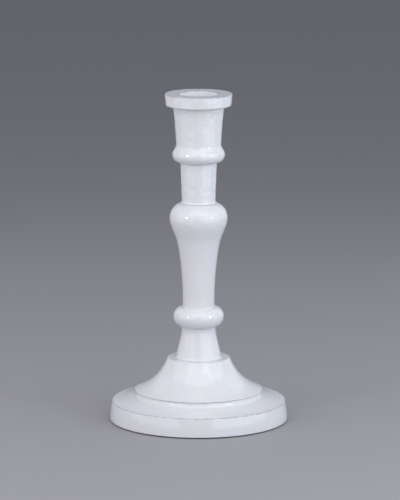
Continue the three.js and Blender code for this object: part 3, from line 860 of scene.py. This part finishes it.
def make_screw(name, screw, head_height, point_up):
    """A slotted wood screw on the z axis, with the underside of its head at a height."""
    way = 1 if point_up else -1
    radius, length = screw["head_radius"], screw["length"]
    outline = [Vector((0, -screw["head_height"]))]
    sweep_to(outline, radius, -HEAD_EDGE, 0, 0.6, 90, 0.4)
    lines_to(outline, (radius - HEAD_EDGE, 0), (screw["radius"] - SHANK_EASE, 0))
    shank = length - screw["threaded"]
    lines_to(outline, (screw["radius"] - SHANK_EASE, shank - SHANK_TAPER), (screw["core"], shank))
    rows = round((length - screw["point"] - shank) / THREAD_STEP)
    lines_to(outline, *[(screw["core"], shank + (row + 1) * THREAD_STEP) for row in range(rows)])
    lines_to(outline, (0, length))
    mesh = outline_mesh(name, outline, 0, lambda point: False)
    piece = turn_piece(name, mesh, zinc_steel, zinc_steel, steps=HARDWARE_STEPS)
    depth = screw["radius"] - screw["core"]
    sizes = {"Pitch": screw["pitch"] * MM, "Depth": depth * MM, "Foot": shank * MM, "Top": length * MM}
    add_tree(piece, threading, {**sizes, "Fade": screw["pitch"] * MM, "Metal": zinc_steel})
    settled(piece)
    cut_slot(piece, screw)
    for vertex in piece.data.vertices:
        vertex.co.y *= way
        vertex.co.z = vertex.co.z * way + head_height
    return piece


def cut_slot(piece, screw):
    """Cuts the driver's slot across a screw's head."""
    shape = bmesh.new()
    bmesh.ops.create_cube(shape, size=1)
    size = (3 * screw["head_radius"] * MM, screw["slot_width"] * MM, 2 * screw["slot_depth"] * MM)
    bmesh.ops.scale(shape, verts=shape.verts, vec=size)
    bmesh.ops.translate(shape, verts=shape.verts, vec=(0, 0, -screw["head_height"] * MM))
    mesh = bpy.data.meshes.new("saw")
    shape.to_mesh(mesh)
    shape.free()
    mesh.materials.append(zinc_steel)
    cut_away(piece, mesh)


def make_washer():
    outline = [Vector((BASE_SCREW_HOLE_RADIUS + WASHER_BURR, 0)), Vector((WASHER_RADIUS - WASHER_BURR, 0))]
    lines_to(outline, (WASHER_RADIUS, WASHER_BURR), (WASHER_RADIUS, WASHER_THICKNESS))
    lines_to(outline, (BASE_SCREW_HOLE_RADIUS, WASHER_THICKNESS), (BASE_SCREW_HOLE_RADIUS, WASHER_BURR))
    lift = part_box("screw_washer")[0].z / MM
    shape = {"closed": True, "paint_round": WASHER_ROUND}
    mesh = outline_mesh("stamped_washer", outline, lift, lambda point: False, **shape)
    piece = settled(turn_piece("stamped_washer", mesh, zinc_steel, zinc_steel, steps=HARDWARE_STEPS))
    finish_piece(piece, "screw_washer")


make_washer()
base_screw_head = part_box("base_screw")[1].z - BASE_SCREW["length"] * MM
base_screw = make_screw("threaded_base_screw", BASE_SCREW, base_screw_head, True)
finish_piece(base_screw, "base_screw")


# ---- Stem dowel -----------------------------------------------------------------------------------
# One thicker fluted dowel, half in the top of the stem and half in the foot of the socket. The joint
# hides in the crease above the bulb.

STEM_DOWEL_RADIUS = 5
STEM_DOWEL_LENGTH = 29
STEM_DOWEL_CHAMFER = 0.8
STEM_DOWEL_FLUTES = 24

stem_dowel_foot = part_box("stem_dowel")[0].z / MM
stem_dowel_sizes = (STEM_DOWEL_RADIUS, STEM_DOWEL_LENGTH, STEM_DOWEL_CHAMFER, STEM_DOWEL_FLUTES)
stem_dowel = make_fluted_dowel("fluted_stem_dowel", *stem_dowel_sizes, stem_dowel_foot)
finish_piece(stem_dowel, "stem_dowel")


# ---- Candle socket --------------------------------------------------------------------------------
# The top length of the candlestick: a plain neck on a small fillet, a bead, a bell that opens slightly
# upwards and a wide flat rim. It is bored for the metal cup. The end grain on top of the rim drank
# its paint and is dull, its grey darkened further as painted shade, and it has one short drying crack at the
# back.

COLLAR_RADIUS = 10.45
COLLAR_HEIGHT = 1.35
SOCKET_NECK_FOOT_RADIUS = 9.71
SOCKET_NECK_TOP_RADIUS = 10.5
SOCKET_NECK_HEIGHT = 23.42
SOCKET_BEAD_RADIUS = 15.16
SOCKET_BEAD_ROUND = 4.47
SOCKET_BEAD_TURN = 37
BELL_FOOT_RADIUS = 12.96
BELL_FOOT_RISE = 5.96
BELL_TOP_RADIUS = 14.78
BELL_HEIGHT = 21.52
BELL_FILLET = 0.69
RIM_FOOT_RADIUS = 18.89
RIM_RADIUS = 19.38
RIM_HEIGHT = 7
RIM_FOOT_ROUND = 1.03
RIM_TOP_ROUND = 0.38
BORE_MOUTH_RADIUS = 11.87
BORE_FLOOR_RADIUS = 11.57
BORE_FLOOR_HEIGHT = 42.34
PIT_RADIUS = 4.12
PIT_DEPTH = 1.3
CUP_SCREW_HOLE_RADIUS = 1.6
CUP_SCREW_HOLE_TAPER = 1.25
PAINT_IN_BORE = 1.5  # how far the paint ran down between the cup and the wood
WORN_RIM = 2  # how far down the rim its edge is handled
CRACK_START = 12.3  # the crack's inner and outer end, from the axis
CRACK_END = 17.2
CRACK_ASIDE = 0.5
CRACK_WIDTH = 0.5
CRACK_DEPTH = 0.9
CRACK_SWAY = 0.25
CRACK_BENDS = 7
CRACK_STEPS = 9
CRACK_TIP = 0.1  # share of a half wave that is left out at each tip
CUT_CLEAR = 1  # how far the crack's cutting shape stands out of the rim
SOCKET_SEED = 12.0
NECK_INSIDE = 0.3  # further inside the neck than this is a hole, and bare
BORE_SKIN = 0.05  # this near to the bore is its wall
DRY_SKIN = 0.12  # this near to its top is end grain
CUP_SCREW_GAP = 0.2
END_GAP = 0.5
CUP_SCREW = {
    "radius": 1.4,
    "core": 1.0,
    "pitch": 1.2,
    "length": 12,
    "threaded": 10,
    "point": 2.5,
    "head_radius": 3.1,
    "head_height": 1,
    "slot_width": 0.6,
    "slot_depth": 0.5,
}


def make_socket():
    bead_height = SOCKET_NECK_HEIGHT + SOCKET_BEAD_ROUND
    bell_foot = bead_height + BELL_FOOT_RISE
    rim_foot = bell_foot + BELL_HEIGHT + BELL_FILLET
    top = rim_foot + RIM_HEIGHT
    pit_floor = BORE_FLOOR_HEIGHT - PIT_DEPTH
    hole_end = pit_floor + CUP_SCREW_GAP - CUP_SCREW["length"] - END_GAP
    outline = [Vector((0, STEM_DOWEL_HOLE_DEPTH))]
    lines_to(outline, (STEM_DOWEL_HOLE_RADIUS, STEM_DOWEL_HOLE_DEPTH), (STEM_DOWEL_HOLE_RADIUS, 0))
    paint_skirt_onto(outline, COLLAR_RADIUS)
    sweep_to(outline, SOCKET_NECK_FOOT_RADIUS, COLLAR_HEIGHT, 165, 0.4, 88, 0.4)
    lines_to(outline, (SOCKET_NECK_TOP_RADIUS, SOCKET_NECK_HEIGHT))
    centre = SOCKET_BEAD_RADIUS - SOCKET_BEAD_ROUND
    bead_to(outline, centre, bead_height, SOCKET_BEAD_ROUND, -90, SOCKET_BEAD_TURN)
    sweep_to(outline, BELL_FOOT_RADIUS, bell_foot, 90 + SOCKET_BEAD_TURN, 0.35, 88, 0.3)
    sweep_to(outline, BELL_TOP_RADIUS, bell_foot + BELL_HEIGHT, 87.5, 0.35, 81.7, 0.35)
    lines_to(outline, (BELL_TOP_RADIUS + BELL_FILLET, rim_foot), (RIM_FOOT_RADIUS - RIM_FOOT_ROUND, rim_foot))
    sweep_to(outline, RIM_FOOT_RADIUS, rim_foot + RIM_FOOT_ROUND, 0, 0.4, 88, 0.4)
    lines_to(outline, (RIM_RADIUS, top - RIM_TOP_ROUND), (RIM_RADIUS - RIM_TOP_ROUND, top))
    lines_to(outline, (BORE_MOUTH_RADIUS, top), (BORE_FLOOR_RADIUS, BORE_FLOOR_HEIGHT))
    lines_to(outline, (PIT_RADIUS, BORE_FLOOR_HEIGHT), (PIT_RADIUS, pit_floor))
    lines_to(outline, (CUP_SCREW_HOLE_RADIUS, pit_floor))
    lines_to(outline, (CUP_SCREW_HOLE_RADIUS, hole_end + CUP_SCREW_HOLE_TAPER), (0, hole_end))
    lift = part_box("candle_socket")[0].z / MM

    def painted(point):
        return point.x > SOCKET_NECK_FOOT_RADIUS - NECK_INSIDE and not in_bore(point)

    def in_bore(point):
        beside_bore = point.x < BORE_MOUTH_RADIUS + BORE_SKIN
        return beside_bore and bead_height < point.y < top - PAINT_IN_BORE

    def dry(point):
        return point.y > top - DRY_SKIN

    def worn(point):
        return 1.0 if point.y > top - WORN_RIM else 0.0

    mesh = outline_mesh("painted_socket", outline, lift, painted, dry, worn)
    brushing = {"seed": SOCKET_SEED, "unevenness": BRUSHED}
    piece = settled(turn_piece("painted_socket", mesh, gloss_enamel, bare_beech, **brushing))
    cut_away(piece, crack_mesh(lift + top))
    finish_piece(piece, "candle_socket")


def crack_mesh(top):
    """The gap of the drying crack: a thin crooked wedge across the rim that runs out at both ends."""
    mesh = bpy.data.meshes.new("crack")
    shape = bmesh.new()
    sections = []
    for step in range(CRACK_STEPS + 1):
        share = step / CRACK_STEPS
        radius = CRACK_START + (CRACK_END - CRACK_START) * share
        aside = CRACK_SWAY * math.sin(CRACK_BENDS * share) + CRACK_ASIDE
        openness = math.sin(math.pi * (CRACK_TIP + (1 - 2 * CRACK_TIP) * share))
        half = CRACK_WIDTH / 2 * openness
        depth = CRACK_DEPTH * openness
        corners = ((aside - half, CUT_CLEAR), (aside + half, CUT_CLEAR), (aside, -depth))
        sections.append([shape.verts.new((x * MM, radius * MM, (top + z) * MM)) for x, z in corners])
    shape.faces.new(sections[0])
    shape.faces.new(sections[-1])
    for near, far in zip(sections, sections[1:]):
        for side in range(3):
            shape.faces.new((near[side], far[side], far[side - 2], near[side - 2]))
    bmesh.ops.recalc_face_normals(shape, faces=shape.faces)
    shape.to_mesh(mesh)
    shape.free()
    mesh.materials.append(bare_beech)
    return mesh


make_socket()


# ---- Metal cup and its screw ----------------------------------------------------------------------
# A tinplate cup pressed into the socket so that the candle does not char the wood, painted over with
# the rest. A small countersunk dimple in its floor takes the screw that holds it.

CUP_LIT_WHITE = (0.81, 0.825, 0.86)  # painted light: lighter than the wood's enamel, to brighten the shaded bore
CUP_LIT_CREAM = (0.81, 0.80, 0.79)
CUP_MOUTH_RADIUS = 11.35
CUP_FLOOR_RADIUS = 11.05
CUP_DEPTH = 20
CUP_WALL = 0.4
CUP_CORNER_ROUND = 0.12
DIMPLE_RADIUS = 3.6
DIMPLE_DEPTH = 1.3
CUP_SEED = 5.0
CUP_DENTS = 0.03


def make_cup():
    underside = -DIMPLE_DEPTH - CUP_WALL
    outline = [Vector((CUP_SCREW_HOLE_RADIUS, underside)), Vector((DIMPLE_RADIUS + CUP_WALL, underside))]
    lines_to(outline, (DIMPLE_RADIUS + CUP_WALL, -CUP_WALL), (CUP_FLOOR_RADIUS + CUP_WALL, -CUP_WALL))
    lines_to(outline, (CUP_MOUTH_RADIUS + CUP_WALL, CUP_DEPTH), (CUP_MOUTH_RADIUS, CUP_DEPTH))
    lines_to(outline, (CUP_FLOOR_RADIUS, 0), (DIMPLE_RADIUS, 0))
    lines_to(outline, (DIMPLE_RADIUS, -DIMPLE_DEPTH), (CUP_SCREW_HOLE_RADIUS, -DIMPLE_DEPTH))
    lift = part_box("candle_cup")[0].z / MM - underside
    shape = {"closed": True, "paint_round": CUP_CORNER_ROUND}
    mesh = outline_mesh("pressed_cup", outline, lift, lambda point: True, **shape)
    # painted light: the cup's enamel is a lighter copy of the wood's, standing in for light in the bore
    cup_enamel = make_enamel("cup_enamel", CUP_LIT_WHITE, CUP_LIT_CREAM)
    dents = {"seed": CUP_SEED, "unevenness": CUP_DENTS}
    piece = settled(turn_piece("pressed_cup", mesh, cup_enamel, cup_enamel, **dents))
    finish_piece(piece, "candle_cup")


make_cup()
cup_screw_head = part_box("cup_screw")[0].z + CUP_SCREW["length"] * MM
cup_screw = make_screw("threaded_cup_screw", CUP_SCREW, cup_screw_head, False)
finish_piece(cup_screw, "cup_screw")


# ---- Felt pad -------------------------------------------------------------------------------------
# A disc of dark green wool felt, glued into the recess under the plinth so that the candlestick does
# not scratch a table. Its cut edge is hairy with loose fibres.

FELT_RADIUS = 44
FELT_THICKNESS = 2
FELT_EDGE = 0.3
FIBRE_LENGTH = 0.6
FIBRE_RADIUS = 0.02
FIBRE_BEND = 0.12  # how far a fibre's tip curls aside
FIBRE_STEPS = 4
FIBRE_LEAN_LEAST = (-0.7, -0.7, 0.15)  # how far it leans from straight out, always a little upwards
FIBRE_LEAN_MOST = (0.7, 0.7, 0.4)
FIBRE_DENSITY = 3.0e6  # fibres per square metre of the cut edge
FIBRE_FOOT = 0.15  # lowest and highest point of the edge that they grow from
FIBRE_TOP = 0.7
FIBRE_SEED = 7
CUT_EDGE_SLOPE = 0.3  # a face that leans more than this is not the cut edge
FELT_SEED = 6.0
FELT_WAVES = 0.1
FELT_SKIN = 0.1  # below this is its face, which stays level
FELT_GREEN = (0.035, 0.075, 0.05)
FELT_LIGHT = (0.07, 0.13, 0.09)
WOOL_SCALE = 2400
WOOL_SHARE = 0.7  # how much of its pattern is single fibres
FELT_CLOUD_SHARE = 0.3
WOOL_HEIGHT = 0.0002
FELT_CLOUD_SCALE = 150
FELT_CLOUD_EDGES = (0.3, 0.7)
FELT_ROUGHNESS = 0.95
FELT_BLOOM = 0.35


def make_felt_material(name):
    """Wool felt: matted green fibres in uneven clouds, with a soft bloom at a low angle."""
    material, tree, shader, place = new_material(name)
    fibres = noise_on(tree, place, WOOL_SCALE, 5.0, 0.7)
    clouds = ramp(tree, noise_on(tree, place, FELT_CLOUD_SCALE, 2.0), *FELT_CLOUD_EDGES)
    clouded = math_node(tree, "MULTIPLY", clouds, FELT_CLOUD_SHARE)
    share = math_node(tree, "MULTIPLY_ADD", fibres, WOOL_SHARE, clouded)
    tree.links.new(blend(tree, share, FELT_GREEN, FELT_LIGHT), shader.inputs["Base Color"])
    shader.inputs["Roughness"].default_value = FELT_ROUGHNESS
    shader.inputs["Sheen Weight"].default_value = FELT_BLOOM
    bumped(tree, shader, fibres, WOOL_HEIGHT)
    return material


green_felt = make_felt_material("green_felt")


def fibre_mesh():
    """One loose fibre of wool along the z axis: a thin bent whisker of three flats, closed at its ends."""
    mesh = bpy.data.meshes.new("fibre")
    shape = bmesh.new()
    rings = []
    for step in range(FIBRE_STEPS):
        share = step / FIBRE_STEPS
        across, thick = FIBRE_BEND * share * share, FIBRE_RADIUS * (1 - share / 2)
        corners = [math.radians(120 * corner) for corner in range(3)]
        places = [(across + thick * math.cos(a), thick * math.sin(a), FIBRE_LENGTH * share) for a in corners]
        rings.append([shape.verts.new(Vector(place) * MM) for place in places])
    tip = shape.verts.new(Vector((FIBRE_BEND, 0, FIBRE_LENGTH)) * MM)
    shape.faces.new(rings[0][::-1])
    for near, far in zip(rings, rings[1:]):
        for side in range(3):
            shape.faces.new((near[side], near[side - 2], far[side - 2], far[side]))
    for side in range(3):
        shape.faces.new((rings[-1][side], rings[-1][side - 2], tip))
    shape.to_mesh(mesh)
    shape.free()
    return mesh


def make_hairing_tree():
    """Scatters loose fibres over the cut edge of a disc, each leaning its own way."""
    kinds = [("Fibre", "Object"), ("Density", "Float"), ("Lowest", "Float"), ("Highest", "Float")]
    tree, given = new_tree("hairing", kinds + [("Seed", "Int"), ("Wool", "Material")])
    place = add_node(tree, "GeometryNodeInputPosition").outputs[0]
    height = add_node(tree, "ShaderNodeSeparateXYZ", {0: place}).outputs["Z"]
    normal = add_node(tree, "GeometryNodeInputNormal").outputs[0]
    rise = add_node(tree, "ShaderNodeSeparateXYZ", {0: normal}).outputs["Z"]
    upright = math_node(tree, "LESS_THAN", math_node(tree, "ABSOLUTE", rise), CUT_EDGE_SLOPE)
    above = math_node(tree, "GREATER_THAN", height, given["Lowest"])
    below = math_node(tree, "LESS_THAN", height, given["Highest"])
    edge = math_node(tree, "MULTIPLY", upright, math_node(tree, "MULTIPLY", above, below))
    scatter = {"Mesh": given["Geometry"], "Selection": edge, "Density": given["Density"]}
    scatter["Seed"] = given["Seed"]
    spots = add_node(tree, "GeometryNodeDistributePointsOnFaces", scatter)
    limits = {"Min": FIBRE_LEAN_LEAST, "Max": FIBRE_LEAN_MOST, "Seed": given["Seed"]}
    lean = add_node(tree, "FunctionNodeRandomValue", limits, data_type="FLOAT_VECTOR").outputs[0]
    heading = math_node(tree, "ADD", spots.outputs["Normal"], lean, kind="ShaderNodeVectorMath")
    turned = add_node(tree, "FunctionNodeAlignRotationToVector", {"Vector": heading}, axis="Z")
    source = add_node(tree, "GeometryNodeObjectInfo", {"Object": given["Fibre"]}).outputs["Geometry"]
    planted = {"Points": spots.outputs[0], "Instance": source, "Rotation": turned.outputs[0]}
    fibres = add_node(tree, "GeometryNodeInstanceOnPoints", planted).outputs[0]
    joined = add_node(tree, "GeometryNodeJoinGeometry")
    tree.links.new(fibres, joined.inputs[0])
    tree.links.new(given["Geometry"], joined.inputs[0])
    close_tree(tree, joined.outputs[0], given["Wool"])
    return tree


def make_felt():
    outline = [Vector((0, 0)), Vector((FELT_RADIUS - FELT_EDGE, 0)), Vector((FELT_RADIUS, FELT_EDGE))]
    lines_to(outline, (FELT_RADIUS, FELT_THICKNESS), (0, FELT_THICKNESS))
    mesh = outline_mesh("felt_disc", outline, 0, lambda point: point.y > FELT_SKIN)
    waves = {"seed": FELT_SEED, "unevenness": FELT_WAVES}
    piece = settled(turn_piece("felt_disc", mesh, green_felt, green_felt, **waves))
    fibre = new_piece("fibre", fibre_mesh())
    spread = {"Fibre": fibre, "Density": FIBRE_DENSITY, "Lowest": FIBRE_FOOT * MM, "Highest": FIBRE_TOP * MM}
    add_tree(piece, make_hairing_tree(), {**spread, "Seed": FIBRE_SEED, "Wool": green_felt})
    settled(piece)
    bpy.data.objects.remove(fibre)
    finish_piece(piece, "felt_pad")


make_felt()


# ---- Studio ---------------------------------------------------------------------------------------
# A pale floor, two large softboxes in front at the sides, each with a small lamp that draws the hot
# spots, a large one above, two weak ones behind that light the edges, and a long lens.

FLOOR_SIZE = 16
FLOOR_GREY = (0.34, 0.34, 0.355)
FLOOR_ROUGHNESS = 0.75
FLOOR_GRAIN_SCALE = 700
FLOOR_GRAIN_HEIGHT = 0.00005


def make_floor():
    mesh = bpy.data.meshes.new("studio_floor")
    half = FLOOR_SIZE / 2
    corners = [(-half, -half, 0), (half, -half, 0), (half, half, 0), (-half, half, 0)]
    mesh.from_pydata(corners, [], [(0, 1, 2, 3)])
    material, tree, shader, place = new_material("studio_floor")
    shader.inputs["Base Color"].default_value = (*FLOOR_GREY, 1)
    shader.inputs["Roughness"].default_value = FLOOR_ROUGHNESS
    bumped(tree, shader, noise_on(tree, place, FLOOR_GRAIN_SCALE, 3.0), FLOOR_GRAIN_HEIGHT)
    mesh.materials.append(material)
    floor = new_piece("studio_floor", mesh)


make_floor()


def add_softbox(name, azimuth, distance, height, size, watts, colour, dip=0):
    """A rectangular light that faces the middle. Angles are in degrees and lengths in metres. Azimuth
    is measured from the camera's side, to the right, and dip is how far the light looks down."""
    turn, tilt = math.radians(azimuth), math.radians(dip)
    level = Vector((math.sin(turn), -math.cos(turn), 0))
    away = level * math.cos(tilt) + Vector((0, 0, math.sin(tilt)))
    data = bpy.data.lights.new(name, "AREA")
    data.shape = "RECTANGLE"
    data.size, data.size_y = size
    data.energy = watts
    data.color = colour
    light = bpy.data.objects.new(name, data)
    light.location = level * distance + Vector((0, 0, height))
    light.rotation_euler = away.to_track_quat("Z", "Y").to_euler()
    light.visible_camera = False
    bpy.context.collection.objects.link(light)


LEFT_COLOUR = (1.0, 0.965, 0.985)
RIGHT_COLOUR = (0.90, 0.945, 1.0)
TOP_COLOUR = (1, 1, 1)
TOP_DIP = 55
WORLD_COLOUR = (0.29, 0.295, 0.33)

add_softbox("left_softbox", -60, 0.45, 0.31, (0.68, 0.60), 1.1, LEFT_COLOUR)
add_softbox("right_softbox", 55, 0.45, 0.31, (0.72, 0.60), 1.65, RIGHT_COLOUR)
add_softbox("left_lamp", -50, 0.88, 0.385, (0.1, 0.14), 0.85, LEFT_COLOUR)
add_softbox("right_lamp", 57, 0.88, 0.385, (0.1, 0.14), 0.9, RIGHT_COLOUR)
add_softbox("left_edge_light", -125, 0.6, 0.35, (0.5, 0.7), 0.42, LEFT_COLOUR)
add_softbox("right_edge_light", 125, 0.6, 0.35, (0.5, 0.7), 0.6, RIGHT_COLOUR)
add_softbox("top_softbox", 0, 0.8, 1.2, (1.6, 1.2), 6.7, TOP_COLOUR, TOP_DIP)

world = bpy.data.worlds.new("studio")
world.use_nodes = True
world.node_tree.nodes["Background"].inputs["Color"].default_value = (*WORLD_COLOUR, 1)
world.node_tree.nodes["Background"].inputs["Strength"].default_value = 1.0
bpy.context.scene.world = world
bpy.context.scene.view_settings.view_transform = "Standard"

LENS = 261.84
SENSOR = 36
CAMERA_PLACE = (0.0008, -2.05895, 0.48556)
CAMERA_DIP = 10.6175  # degrees that it looks down

camera_data = bpy.data.cameras.new("camera")
camera_data.lens, camera_data.sensor_width = LENS, SENSOR
camera = bpy.data.objects.new("camera", camera_data)
camera.location = CAMERA_PLACE
camera.rotation_euler = (math.radians(90 - CAMERA_DIP), 0, 0)
bpy.context.collection.objects.link(camera)
bpy.context.scene.camera = camera
